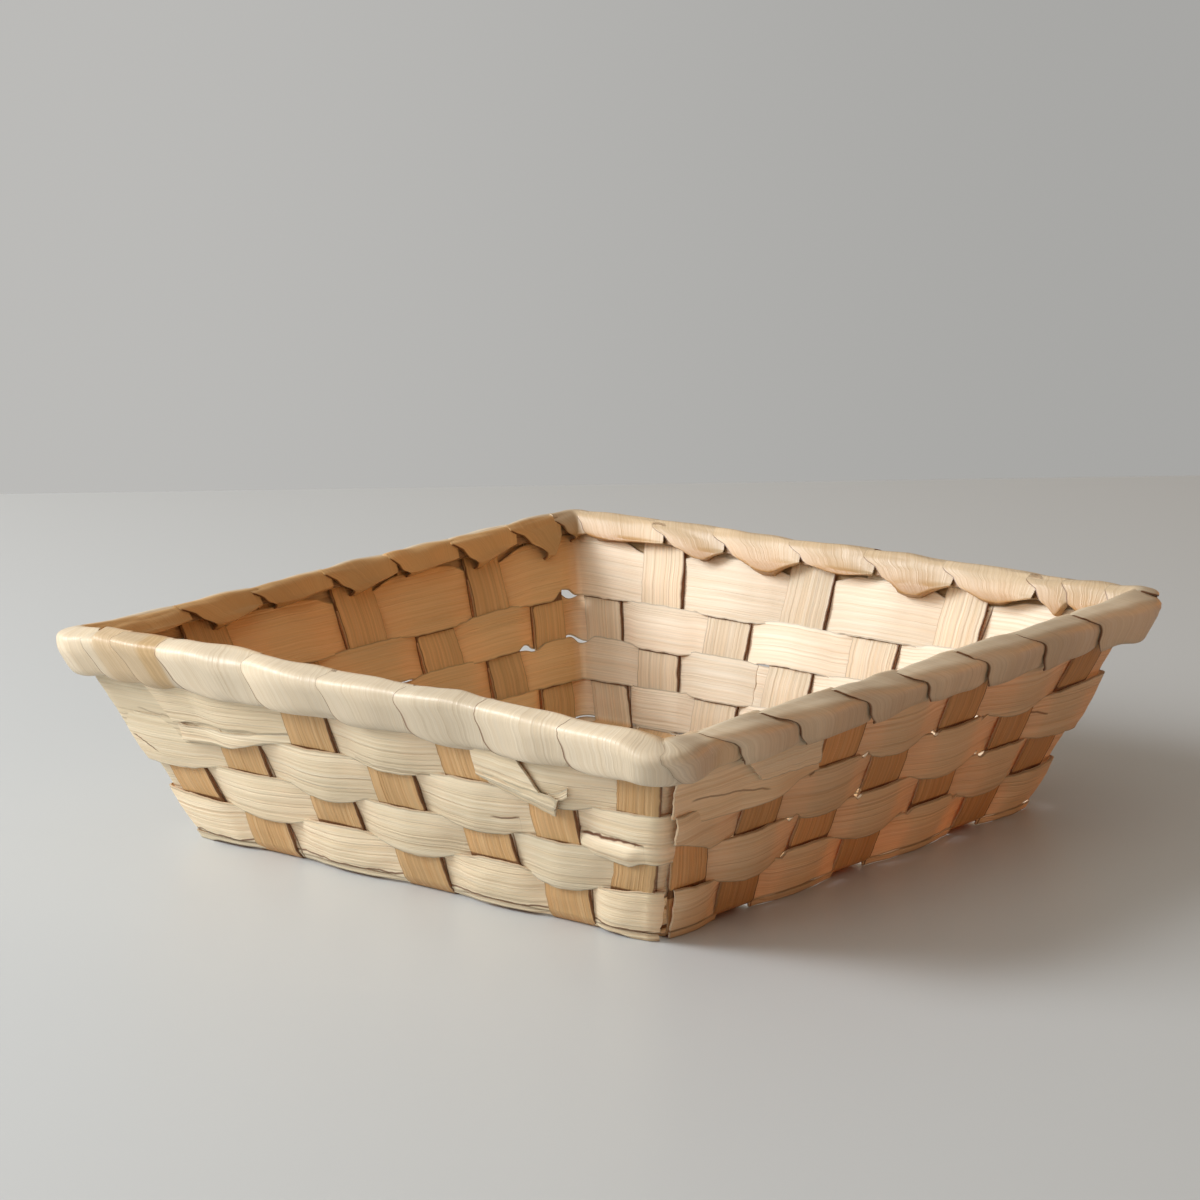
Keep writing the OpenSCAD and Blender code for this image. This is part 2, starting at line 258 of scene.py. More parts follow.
def splint(name, pale, mid, streak, fibre=1.0, streaks=0.5, rough=(0.42, 0.6), glow=(1.0, 0.52, 0.19), through=0.26, bump=0.35, broad=0.5, comb=0.0, edge_dark=0.72, line_k=0.85, line_w=0.5, inside=None, spec=0.4):
    """Split wood: straight fibres run lengthwise as pale and brown streaks, with fine ridges, a satin surface and
    orange light that comes through. Where the orange-tint share is set, the colour is painted darker orange as shade
    with glow.
    """
    mat = bpy.data.materials.new(name)
    mat.use_nodes = True
    nt = mat.node_tree
    nt.nodes.clear()
    out = node(nt, "ShaderNodeOutputMaterial", 1400, 0)
    mix = node(nt, "ShaderNodeMixShader", 1200, 0)
    mix.inputs[0].default_value = through
    bsdf = node(nt, "ShaderNodeBsdfPrincipled", 900, 100)
    tran = node(nt, "ShaderNodeBsdfTranslucent", 900, -400)
    nt.links.new(bsdf.outputs[0], mix.inputs[1])
    nt.links.new(tran.outputs[0], mix.inputs[2])
    nt.links.new(mix.outputs[0], out.inputs[0])
    bsdf.inputs["Specular IOR Level"].default_value = spec

    def att(a, y):
        n = node(nt, "ShaderNodeAttribute", -1600, y)
        n.attribute_name = a
        return n.outputs["Fac"]

    al, ac, to, ed, dk = att("along", 300), att("across", 100), att("tone", -100), att("edge", -300), att("dark", -500)
    li, sl, sk = att("line", -700), att("slit", -900), att("slitk", -1100)

    def math_(op, a, b=None, c=None):
        n = node(nt, "ShaderNodeMath", -1300, 0, operation=op)
        for i, v in enumerate((a, b, c)):
            if v is None:
                continue
            if isinstance(v, (int, float)):
                n.inputs[i].default_value = v
            else:
                nt.links.new(v, n.inputs[i])
        return n.outputs[0]

    def noise(fa, fc, shift, detail=2.0, rough_=0.5, distort=0.0):
        c = node(nt, "ShaderNodeCombineXYZ", -1000, 0)
        nt.links.new(math_("MULTIPLY", al, fa), c.inputs[0])
        nt.links.new(math_("MULTIPLY", ac, fc), c.inputs[1])
        nt.links.new(math_("MULTIPLY_ADD", to, 37.0, shift), c.inputs[2])
        t = node(nt, "ShaderNodeTexNoise", -800, 0)
        t.inputs["Scale"].default_value = 1.0
        t.inputs["Detail"].default_value = detail
        t.inputs["Roughness"].default_value = rough_
        t.inputs["Distortion"].default_value = distort
        nt.links.new(c.outputs[0], t.inputs["Vector"])
        return t.outputs["Fac"]

    def ramp(v, lo, hi, a=0.0, b=1.0):
        n = node(nt, "ShaderNodeMapRange", -600, 0)
        n.interpolation_type = "SMOOTHSTEP"
        n.inputs["From Min"].default_value, n.inputs["From Max"].default_value = lo, hi
        n.inputs["To Min"].default_value, n.inputs["To Max"].default_value = a, b
        nt.links.new(v, n.inputs["Value"])
        return n.outputs[0]

    def blend(f, a, b, mode="MIX"):
        n = node(nt, "ShaderNodeMix", -200, 0, data_type="RGBA", blend_type=mode)
        n.inputs[0].default_value = 0.5
        for i, v in ((0, f), (6, a), (7, b)):
            if isinstance(v, tuple):
                n.inputs[i].default_value = (*v, 1.0) if len(v) == 3 else v
            elif isinstance(v, (int, float)):
                n.inputs[i].default_value = v
            else:
                nt.links.new(v, n.inputs[i])
        return n.outputs[2]

    fine = noise(9 * fibre, 1150 * fibre, 0.0, 2.0, 0.55)
    finer = noise(30 * fibre, 3200 * fibre, 11.0, 1.0, 0.5)
    lines = noise(6, 950, 23.0, 1.0, 0.5)
    wide = noise(6, 130, 41.0, 1.0, 0.5)
    patchy = noise(34, 160, 55.0, 1.0, 0.5)
    tint = noise(7, 30, 67.0, 1.0, 0.5)
    col = blend(ramp(fine, 0.3, 0.7), mid, pale)
    strength = math_("MULTIPLY", math_("MULTIPLY", ramp(lines, 0.55, 0.72), streaks), ramp(patchy, 0.35, 0.6, 0.35, 1.0))
    col = blend(strength, col, streak)
    col = blend(math_("MULTIPLY", ramp(wide, 0.35, 0.7), broad), col, mid)
    if inside:
        face = att("pale", -1300)
        col = blend(face, col, blend(ramp(fine, 0.3, 0.7), inside[1], inside[0]))
    # painted shade: by the orange-tint share the colour is multiplied towards dark orange, standing for glow through
    # the wood and bounce light in shade
    col = blend(att("painted_orange_shade", -1500), col, blend(1.0, col, (0.93, 0.69, 0.42), "MULTIPLY"))
    shade = math_("MULTIPLY_ADD", ramp(finer, 0.3, 0.7), 0.10, 0.95)
    shade = math_("MULTIPLY", shade, math_("MULTIPLY_ADD", ramp(tint, 0.3, 0.7), 0.16, 0.92))
    if comb:
        ridges = noise(3, 1000, 91.0, 0.0, 0.5)
        shade = math_("MULTIPLY", shade, math_("MULTIPLY_ADD", ramp(ridges, 0.35, 0.6), comb, 1 - comb))
    vary = math_("MULTIPLY_ADD", math_("FRACT", math_("MULTIPLY", to, 7.13)), 0.10, 0.95)
    shade = math_("MULTIPLY", shade, vary)
    # darker towards the strip's side edges, by edge_dark at the edge
    darker_at_edges = ramp(ed, 0.05, 0.6, edge_dark, 1.0)
    shade = math_("MULTIPLY", shade, darker_at_edges)
    grey = node(nt, "ShaderNodeCombineColor", -300, -200)
    for i in range(3):
        nt.links.new(shade, grey.inputs[i])
    col = blend(1.0, col, grey.outputs[0], "MULTIPLY")
    # painted shade: the dark brown below stands for shadow lines along stake and turn edges and beside floats, the
    # shade inside cracks, and the dark share on the inner hoop and the rim's lower parts
    painted_shade_mark = math_("MAXIMUM", ramp(li, 0.1, line_w, line_k, 0.0), math_("MULTIPLY", ramp(math_("ABSOLUTE", sl), 0.15, 0.5, 1.0, 0.0), sk))
    painted_shade_mark = math_("MAXIMUM", painted_shade_mark, dk)
    col = blend(painted_shade_mark, col, (0.17, 0.066, 0.022))
    nt.links.new(col, bsdf.inputs["Base Color"])
    nt.links.new(blend(1.0, col, glow, "MULTIPLY"), tran.inputs["Color"])
    nt.links.new(ramp(fine, 0.25, 0.75, rough[1], rough[0]), bsdf.inputs["Roughness"])
    height = math_("MULTIPLY_ADD", fine, 1.0, math_("MULTIPLY", finer, 0.4))
    height = math_("MULTIPLY_ADD", ramp(lines, 0.5, 0.7), -0.8, height)
    if comb:
        height = math_("MULTIPLY_ADD", ramp(ridges, 0.35, 0.6), 2.0 * comb, height)
    bp = node(nt, "ShaderNodeBump", 500, -300)
    bp.inputs["Strength"].default_value = bump
    bp.inputs["Distance"].default_value = 0.0004
    nt.links.new(height, bp.inputs["Height"])
    nt.links.new(bp.outputs[0], bsdf.inputs["Normal"])
    nt.links.new(bp.outputs[0], tran.inputs["Normal"])
    return mat


pale_w, mid_w = (0.86, 0.77, 0.57), (0.79, 0.665, 0.45)
mat_stake = splint("stake_splint", (0.80, 0.545, 0.27), (0.70, 0.43, 0.185), (0.44, 0.22, 0.08), streaks=0.28, rough=(0.42, 0.58), bump=0.45, comb=0.09, edge_dark=0.75, line_k=0.85, line_w=0.6, inside=((0.94, 0.825, 0.625), (0.88, 0.73, 0.51)))
mat_weaver = splint("weaver_splint", pale_w, mid_w, (0.55, 0.36, 0.19), streaks=0.45, rough=(0.42, 0.6), through=0.2, bump=0.45, edge_dark=0.65, line_w=0.6, inside=((0.96, 0.875, 0.71), (0.92, 0.80, 0.615)))
mat_lash = splint("lashing_splint", (0.715, 0.62, 0.47), (0.675, 0.565, 0.405), (0.44, 0.30, 0.17), fibre=1.15, streaks=0.22, rough=(0.33, 0.45), bump=0.18, broad=0.3, through=0.12, edge_dark=0.8, line_k=0.9, line_w=0.8, spec=0.42, inside=((0.66, 0.46, 0.24), (0.57, 0.38, 0.18)))
mat_hoop = splint("hoop_splint", (0.66, 0.46, 0.25), (0.54, 0.35, 0.17), (0.27, 0.14, 0.05), through=0.05)


# ---------------------------------------------------------------- stakes
def weaver_sign(i, r):
    return 1.0 if (i + r) % 2 == 0 else -1.0


def weave_path(r, amp_out, amp_in, seed=0, step=0.4):
    """On an even fine grid round one row: l, n, the float's number and -1..1 place in it, and the stakes (place, half width, sign)."""
    s0 = row_s[r]
    full = side_len(s0, fold_r)
    total = 4 * full
    l = np.arange(0, total, step) - full / 2
    rng = np.random.default_rng(seed)
    stakes = []
    for k in range(4):
        for i in range(7):
            stakes.append((k * full + float(stake_q(k, i, s0)), wall_w[k][i] / 2, weaver_sign(i, r)))
    m = len(stakes)
    cross = []
    for a in range(m):
        x, w, g = stakes[a]
        x2, w2, g2 = stakes[(a + 1) % m]
        if a == m - 1:
            x2 += total
        if g != g2:
            cross.append(((x + w + x2 - w2) / 2, a))
    n = np.zeros_like(l)
    xx = np.ones_like(l)
    fid = np.zeros(len(l), int)
    for c in range(len(cross)):
        c0, a0 = cross[c]
        c1, a1 = cross[(c + 1) % len(cross)]
        if c == len(cross) - 1:
            c1 += total
        first, last = stakes[(a0 + 1) % m], stakes[a1 % m]
        g = first[2]
        e0 = first[0] + (total if first[0] < c0 - 1 else 0) - first[1]
        e1 = last[0] + last[1]
        while e1 < e0:
            e1 += total
        amp = (amp_out if g > 0 else amp_in) * (0.93 + 0.2 * rng.random())
        mid, h = (c0 + c1) / 2, (c1 - c0) / 2
        xe = max(abs(e0 - mid), abs(e1 - mid)) / h
        need = min(0.95, amp * 0.93)
        p = float(np.clip(math.log(1 - need / amp) / math.log(min(xe, 0.985)), 1.6, 14))
        for sh in (-total, 0, total):
            x = (l + sh - mid) / h
            on = np.abs(x) <= 1
            n[on] = g * amp * (1 - np.abs(x[on]) ** p)
            xx[on] = x[on]
            fid[on] = c
    ext = int(12 / step)
    n = gauss(np.concatenate([n[-ext:], n, n[:ext]]), 1.0 / step)[ext:-ext]
    return l, n, xx, fid, stakes, full


class Row:
    """One row of weaver as functions of l, so that the strip, its splits and its loose ends all follow the same path."""

    def __init__(self, r, lo_w, up_w, seed, amp_out=2.05, amp_in=1.5, s_shift=0.0, corner_in=0.55):
        self.r, self.s0, self.seed = r, row_s[r], seed
        l, n, xx, fid, self.stakes, self.full = weave_path(r, amp_out, amp_in, seed)
        self.total = 4 * self.full
        rng = np.random.default_rng(seed + 7)
        nf = fid.max() + 1
        j1, j2, j3 = rng.normal(0, 0.4, nf), rng.normal(0, 0.3, nf), rng.normal(0, 0.3, nf)
        out = n > 0
        xs = np.clip((xx - 0.12) / np.where(xx > 0.12, 0.88, 1.12), -1, 1)
        f_out = 1 - np.abs(xs) ** 2.6
        f_in = 1 - np.abs(xx) ** 6
        f = np.where(out, f_out, f_in)
        lo_f, up_f = np.where(out, lo_w[1], lo_w[2]), np.where(out, up_w[1], up_w[2])
        lo = lo_w[0] + (lo_f - lo_w[0] + j1[fid]) * f
        up = up_w[0] + (up_f - up_w[0] + j2[fid]) * f
        self.l, self.n_ = l, n
        self.lo_ = gauss(lo, 3) + 0.18 * wob(l, seed + 4, 9)
        self.up_ = gauss(up, 3) + 0.18 * wob(l, seed + 5, 9)
        self.cen_ = self.s0 + s_shift + 0.3 * wob(l, seed + 3, 70) + gauss(j3[fid] * f, 3)
        self.f_ = gauss(f * np.sign(n), 2)
        q = np.mod(l + self.full / 2, self.full) - self.full / 2
        tight = np.exp(-((self.full / 2 - np.abs(q)) / 8.0) ** 2)
        self.n_ = np.where(n > 0, n * (1 - corner_in * tight), n * (1 - 0.2 * tight))
        for row_below, side, at, deep, size in pinholes:
            dip = deep * np.exp(-np.abs((l - (side * self.full + at)) / size) ** 3)
            if row_below == r:
                self.up_ = self.up_ - dip
            if row_below == r - 1:
                self.lo_ = self.lo_ - dip

    def at(self, l, what):
        y = {"n": self.n_, "lo": self.lo_, "up": self.up_, "cen": self.cen_, "f": self.f_}[what]
        x = np.mod(np.asarray(l) + self.full / 2, self.total) - self.full / 2
        return np.interp(x, np.append(self.l, self.l[0] + self.total), np.append(y, y[0]))

    def place(self, side, q):
        return side * self.full + q

    def stations(self, l0, l1, step=1.25):
        """Even stations, and more of them where a stake's edge marks the strip."""
        pts = list(np.arange(l0, l1, step)) + [l1]
        for x, w, _ in self.stakes:
            for turn in (-self.total, 0, self.total, 2 * self.total):
                for e in (x + turn - w, x + turn + w):
                    pts += [p for p in (e - 0.6, e, e + 0.6) if l0 < p < l1]
        pts = np.unique(np.round(pts, 3))
        keep = [pts[0]]
        for q in pts[1:]:
            if q - keep[-1] > 0.12:
                keep.append(q)
        return np.array(keep)

    def line(self, l):
        """Distances to where the strip comes out from behind a stake, at the stake's right side as each face shows it,
        where a painted shadow line is drawn, as the stake's shadow falls that way.
        """
        out, inn = np.full(len(l), 9.0), np.full(len(l), 9.0)
        for j, (x, w, g) in enumerate(self.stakes):
            for turn in (-self.total, 0, self.total, 2 * self.total):
                if g < 0:
                    out = np.minimum(out, np.abs(l - (x + w + turn)) + 0.05)
                else:
                    inn = np.minimum(inn, np.abs(l - (x + (w if j // 7 in (1, 3) else -w) + turn)) + 0.05)
        return out, inn

    def behind(self, l, more=0.3):
        """1 where the strip passes inside a stake."""
        out = np.zeros(len(l))
        for x, w, g in self.stakes:
            if g < 0:
                for turn in (-self.total, 0, self.total, 2 * self.total):
                    out = np.maximum(out, smooth((w + more + 0.5 - np.abs(l - (x + turn))) / 0.5))
        return out


def lay(b, row, l0, l1, tone, thick=weaver_t, kk=17, start=(0.0, 0.0), end=(0.0, 0.0), lift=None, edges=None, slit=None, seed=0, tilt=0.3, cup=0.5, n_of=None, with_lines=True, hole=None):
    """Lays a strip along a row from l0 to l1. start and end are (lift, skew) of the cut ends, lift(l) more lift,
    edges(l) the strip's lower and upper side, slit (l0, l1, s0, s1, strength) a crack along it, dented a little and
    painted dark as the shade inside it.
    """
    ll = row.stations(l0, l1)
    n = row.at(ll, "n") if n_of is None else n_of(ll)
    f = row.at(ll, "f")
    cen = row.at(ll, "cen")
    if edges is None:
        low, high = cen - row.at(ll, "lo"), cen + row.at(ll, "up")
    else:
        low, high = edges(ll)
    n = n + start[0] * smooth(1 - (ll - l0) / 14) + end[0] * smooth(1 - (l1 - ll) / 14)
    if lift is not None:
        n = n + lift(ll)
    t = np.linspace(0, 1, kk)[None, :]
    v = 2 * t - 1
    s = low[:, None] + (high - low)[:, None] * t
    g = np.clip(f, -1, 1)
    n2 = n[:, None] - (cup * g)[:, None] * v ** 2 - (tilt * g)[:, None] * v
    n2 = n2 + 0.10 * wob2(ll[:, None], s, seed + 8, 13, 8) + 0.05 * wob2(ll[:, None], s, seed + 9, 40, 2.2)
    L = ll[:, None] + 0 * s
    a0 = np.clip(1 - (ll - l0) / 6, 0, 1)[:, None]
    a1 = np.clip(1 - (l1 - ll) / 6, 0, 1)[:, None]
    L = L + a0 * start[1] * v + a1 * end[1] * v
    L[-1] += 0.3 * wob(s[-1], seed + 10, 7)
    L[0] += 0.3 * wob(s[0], seed + 11, 7)
    sd = sk = None
    if slit is not None:
        sd, sk = np.full(s.shape, 9.0), np.zeros(s.shape)
        for j, (x0, x1, c0_, c1_, strength) in enumerate(slit if isinstance(slit, list) else [slit]):
            sc = np.interp(ll, [x0, x1], [c0_, c1_]) + 0.35 * wob(ll, seed + 12 + j, 12)
            d = s - sc[:, None]
            k = (strength * smooth((ll - x0) / 2.5) * smooth((x1 - ll) / 2.5))[:, None] + 0 * s
            closer = k > sk + 0.02
            sd, sk = np.where(closer, d, sd), np.where(closer, k, sk)
            n2 = n2 - 0.25 * k * np.exp(-(d / 0.7) ** 2)
    if hole is not None:
        n2 = n2 + hole(ll[:, None] + 0 * s, s)
    # painted shadow lines on the strip where it comes out from behind each stake
    line = tuple(x[:, None] + 0 * s for x in row.line(ll)) if with_lines else None
    turned = ll / row.full
    # painted orange shade per wall, from the per-wall tables, for the outer and inner faces
    painted_orange_shade, painted_orange_shade_out = (np.interp(np.mod(turned, 4), [0.0, 0.47, 0.53, 1.47, 1.53, 2.47, 2.53, 3.47, 3.53, 4.0], [w[k] for k in (0, 0, 1, 1, 2, 2, 3, 3, 0, 0)])[:, None] for w in (painted_shade_per_wall, painted_shade_per_wall_out))
    b.sheet(ring(L, n2 + thick / 2, s, row.s0, fold_r), ring(L, n2 - thick / 2, s, row.s0, fold_r), ll[:, None], s - cen[:, None], tone, line=line, slit=sd, slitk=sk, pale=(0.0, 1 - 0.75 * (painted_orange_shade == 0.8)), painted_orange_shade=(painted_orange_shade_out, painted_orange_shade))



# small gaps between two rows, as (the lower row, side, place along it, depth, half length)
pinholes = [(r, 1, y, 1.5, 1.2) for r, y in ((2, -42), (2, -16), (1, -12.5), (1, -44), (0, -42), (0, 18), (2, 18.5), (0, 41), (2, 42), (1, 49))]
pinholes += [(2, 3, -103, 3.2, 4.6), (1, 3, -101, 3.0, 4.2), (1, 3, -77, 1.6, 3.4)]
rows = [
    Row(0, (6.3, 6.5, 6.5), (6.9, 9.2, 7.0), 11, amp_out=1.95, amp_in=1.35, corner_in=0.75),
    Row(1, (7.0, 9.0, 7.8), (7.35, 7.6, 7.8), 12),
    Row(2, (7.35, 9.2, 7.9), (7.3, 8.8, 7.9), 13, corner_in=0.35),
    Row(3, (7.3, 9.3, 8.0), (12.3, 9.3, 12.9), 14),
    Row(4, (1.0, 1.0, 1.0), (5.0, 5.2, 5.2), 15, amp_out=0.95, amp_in=0.95),
]


def stake_push(i, s):
    """How far a stake gives way to the weavers that pass it."""
    knots = [0.0, 3.0] + row_s[:4] + [61.5, 75.0]
    vals = [0.0, 0.0] + [-0.3 * weaver_sign(i, r) for r in range(4)] + [0.0, 0.0]
    return gauss(np.interp(s, knots, vals), 3.0)


def floor_heights(t, own, others, other_w, high_first, skew):
    """z of a base strip at places t along it; others are the crossing strips' places there."""
    low, high = 0.45, 1.45
    kt, kz = [], []
    for i, p in enumerate(others):
        z = high if high_first(i) else low
        hold = other_w[i] / 2 + 0.25 + skew
        kt += [p - hold, p + hold]
        kz += [z, z]
    kt, kz = np.array(kt), np.array(kz)
    bad = np.where(np.diff(kt) <= 0)[0]
    for b in bad:
        m = (kt[b] + kt[b + 1]) / 2
        kt[b], kt[b + 1] = m - 0.3, m + 0.3
    return np.interp(t, kt, kz)


def make_stake(name, cad, side_a, ia, side_b, ib, j, width, seed, along_y):
    """One strip from the rim down one wall, over the base and up the far wall."""
    b = Build(name)
    kk = 13
    v = np.linspace(-1, 1, kk)
    hw = width / 2
    s_down = np.arange(72.6, 3.4, -0.6)
    s_down[-1] = 3.5
    rng = np.random.default_rng(seed)
    parts_o, parts_i, lines = [], [], []
    half = stake_t / 2 - 0.05

    def wall_part(side, i, s_list, flip, sd):
        push = stake_push(i, s_list[::-1])[::-1] if s_list[0] > s_list[-1] else stake_push(i, s_list)
        cen = stake_q(side, i, s_list)
        wid = hw * (1 + 0.02 * wob(s_list, sd, 26)) + 0.12 * wob(s_list, sd + 1, 6)
        lean = 0.25 * wob(s_list, sd + 2, 45)
        q = (cen + lean)[:, None] + flip * v[None, :] * wid[:, None]
        crown = 0.22 * (1 - v ** 2)[None, :] * np.clip(push / 0.3, -1, 1)[:, None]
        fade = smooth((s_list - 3.5) / 6)[:, None]
        n = push[:, None] + crown * fade + 0.06 * wob2(s_list[:, None], q, sd + 3, 14, 9) * fade
        l0 = side * rim_full + float(stake_q(side, i, rim_s)) * rim_full / (2 * (hb + sn * rim_s))
        s = s_list + (rim_sag(l0) - 0.6) * smooth((s_list - 60) / 10)
        s = np.broadcast_to(s[:, None], q.shape)
        # distances to the edge of the float beside the stake, for painted shade lines: below a span outside, for the
        # shaded gap above the float, and at a span's top inside, for the shadow of the float above
        out_d, in_d = np.full(len(s_list), 9.0), np.full(len(s_list), 9.0)
        for r in range(4):
            row = rows[r]
            at = row.place(side, float(stake_q(side, i, row_s[r])))
            top, low = row.at(at, "cen") + row.at(at, "up"), row.at(at, "cen") - row.at(at, "lo")
            if weaver_sign(i, r) > 0:
                out_d = np.minimum(out_d, np.where(s_list > top - 3, np.maximum(s_list - top, 0), 9.0))
            else:
                in_d = np.minimum(in_d, np.where(s_list < low + 3, np.maximum(low - s_list, 0), 9.0))
        lines.append((out_d, in_d))
        return wall(side, q, n + half, s, fold_r), wall(side, q, n - half, s, fold_r)

    o, i_ = wall_part(side_a, ia, s_down, 1 if side_a in (0, 1) else -1, seed * 10)
    parts_o.append(o)
    parts_i.append(i_)
    # base
    skew = 2.6 if along_y else 0.3
    t_line = np.arange(-(hb - 2.3), hb - 2.25, 1.5)
    t_line[-1] = hb - 2.3
    if along_y:
        others = [left_y[i] * (0.5) + right_y[i] * 0.5 for i in range(7)]
        lat_a, lat_b = front_x[j], back_x[j]
        z = floor_heights(t_line, j, others, lr_w, lambda i: (i + 1 + j + 1) % 2 == 0, skew)
    else:
        others = [front_x[i] * 0.5 + back_x[i] * 0.5 for i in range(7)]
        lat_a, lat_b = left_y[j], right_y[j]
        z = floor_heights(t_line, j, others, fb_w, lambda i: (i + 1 + j + 1) % 2 == 1, skew)
    # each strip's crossing places move with the other strips' slant
    if not along_y:
        base_at = [front_x[i] + (back_x[i] - front_x[i]) * ((lat_a + lat_b) / 2 + hb) / (2 * hb) for i in range(7)]
        z = floor_heights(t_line, j, base_at, fb_w, lambda i: (i + 1 + j + 1) % 2 == 1, skew)
    z = gauss(z, 1.3)
    lat = lat_a + (lat_b - lat_a) * (t_line + hb) / (2 * hb)
    wid = hw * (1 + 0.015 * wob(t_line, seed * 10 + 5, 30))

    def place(lateral, far, zz, no, nz, sgn):
        """Points with outward normal (no, nz) at each end of the base."""
        lateral = lateral[None, :] if lateral.ndim == 1 else lateral
        out = np.broadcast_to(np.asarray(far, float)[:, None], lateral.shape)
        zz = np.broadcast_to(np.asarray(zz, float)[:, None], lateral.shape)
        res = []
        for sg in (half, -half):
            a = out + sgn * no * sg
            h = zz + nz * sg
            res.append(np.stack([lateral, a, h], -1) if along_y else np.stack([a, lateral, h], -1))
        return res

    for end, sgn, latc, zz in ((0, -1, lat_a, z[0]), (1, 1, lat_b, z[-1])):
        fold_far = sgn * (hb - 0.35)
        fold = place(latc + v * hw, [fold_far], [1.35 + 0.6 * (zz - 0.45)], 0.62, -0.785, sgn)
        fold2 = place(latc + v * hw, [sgn * (hb - 1.1)], [0.72 + 0.85 * (zz - 0.45)], 0.4, -0.917, sgn)
        if end == 0:
            parts_o += [fold[0], fold2[0]]
            parts_i += [fold[1], fold2[1]]
            fl = place(lat[:, None] + v[None, :] * wid[:, None], t_line, z, 0.0, -1.0, 1)
            parts_o.append(fl[0])
            parts_i.append(fl[1])
        else:
            parts_o += [fold2[0], fold[0]]
            parts_i += [fold2[1], fold[1]]
    o, i_ = wall_part(side_b, ib, s_down[::-1], 1 if side_b in (0, 1) else -1, seed * 10 + 50)
    parts_o.append(o)
    parts_i.append(i_)
    outer, inner = np.concatenate(parts_o), np.concatenate(parts_i)
    mid = (outer[:, kk // 2] + inner[:, kk // 2]) / 2
    along = np.concatenate([[0], np.cumsum(np.linalg.norm(np.diff(mid, axis=0), axis=1))])
    far = len(outer) - len(lines[0][0]) - len(lines[1][0])
    cross = [np.concatenate([lines[0][f], np.full(far, 9.0), lines[1][f]]) for f in (0, 1)]
    # painted shade: a dark line along each stake's right side as each face shows it, where its shadow falls, and across
    # the stake by the float's edge
    line_o = np.minimum((hw - v * hw)[None, :], cross[0][:, None] * 1.3)
    line_i = np.minimum((hw - v * hw if along_y else hw + v * hw)[None, :], cross[1][:, None] * 1.3)
    # painted orange shade per face: each wall's share from the per-wall tables, and a strong share on the basket's
    # floor
    painted_orange_shade = np.concatenate([np.full(len(lines[0][0]), painted_shade_per_wall[side_a]), np.full(far, 0.8), np.full(len(lines[1][0]), painted_shade_per_wall[side_b])])[:, None]
    painted_orange_shade_out = np.concatenate([np.full(len(lines[0][0]), painted_shade_per_wall_out[side_a]), np.full(far, 0.2), np.full(len(lines[1][0]), painted_shade_per_wall_out[side_b])])[:, None]
    b.sheet(outer, inner, along[:, None], (v * hw)[None, :], rng.random(), line=(line_o, line_i), pale=(0.0, 1.0), painted_orange_shade=(painted_orange_shade_out, painted_orange_shade))
    return b.make(mat_stake, [cad])


for j in range(7):
    make_stake(f"stake_front_back_{j + 1}", f"front_back_stake_{j + 1}", 0, j, 2, 6 - j, j, fb_w[j], 100 + j, True)
    make_stake(f"stake_left_right_{j + 1}", f"left_right_stake_{j + 1}", 3, 6 - j, 1, j, j, lr_w[j], 200 + j, False)


# ---------------------------------------------------------------- the woven rows
# bottom row, cut at the near corner, with the thin strip that has split off along its lower side
row = rows[0]
half_side = row.full / 2
c0 = half_side + 3.2
b = Build("weaver_row_bottom")
low_z = lambda l: (2.75 + sn * row.at(l, "n") * 0.75 + 0.12 * wob(l, 61, 30)) / cs
low_side = lambda l: (low_z(l), row.at(l, "cen") + row.at(l, "up"))
# The slits are cracks painted dark as the shade inside them; the long one across the front and the one on the right
# wall stand for the shaded gap above the split-off thin strip.
lay(b, row, c0 - row.total + 1.9, c0 - 1.6, 0.13, seed=11, edges=low_side, start=(0.35, 0.5), end=(0.1, 0.3), slit=[(-44, -18, 5.4, 5.0, 0.7), (-96, 96, 3.75, 3.6, 0.85), (half_side + 30, half_side + 150, 3.8, 3.6, 0.7)], tilt=-0.15)
thin_low = lambda l: (0.08 + 0.87 * smooth((row.full / 2 - 6 - np.abs(l)) / 6) + sn * (row.at(l, "n") * 0.7 + 0.38)) / cs + 2.2 * row.behind(l, -1.4)
lay(b, row, c0 - row.total + 1.4, c0 - 2.2, 0.57, thick=0.55, kk=5, seed=21, edges=lambda l: (thin_low(l), np.maximum(low_z(l) - 0.4, thin_low(l) + 0.8)), tilt=0.0, cup=0.0, n_of=lambda l: row.at(l, "n") * 0.7)
b.make(mat_weaver, ["weaver_row_1"])

# second row, whole round the near corner, joined on the back
row = rows[1]
b = Build("weaver_row_second")
p0 = row.place(2, 24)
lay(b, row, p0 - row.total, p0 + 30, 0.31, seed=12, end=(0.75, -2.0), lift=lambda l, p0=p0: 0.72 * smooth((l - p0 + 2) / 6), slit=(row.place(0, 26), row.place(0, 52), 20.5, 19.0, 0.35))
b.make(mat_weaver, ["weaver_row_2"])

# third row: comes round the near corner from the front and ends there; its slanted start lies on the right wall
row = rows[2]
half_side = row.full / 2
b = Build("weaver_row_third")


def third_lip(l, s, h=half_side):
    """The cracked float by the near corner: its lower lip stands out."""
    near_crack = smooth((l - (h - 34)) / 8) * smooth((h - 3 - l) / 7)
    return 1.25 * near_crack * np.exp(-((s - 31.6) / 2.6) ** 2) - 0.9 * near_crack * np.exp(-((s - 35.6) / 0.8) ** 2)


p1 = half_side + 6.5
ps = p1 - row.total - 3.5


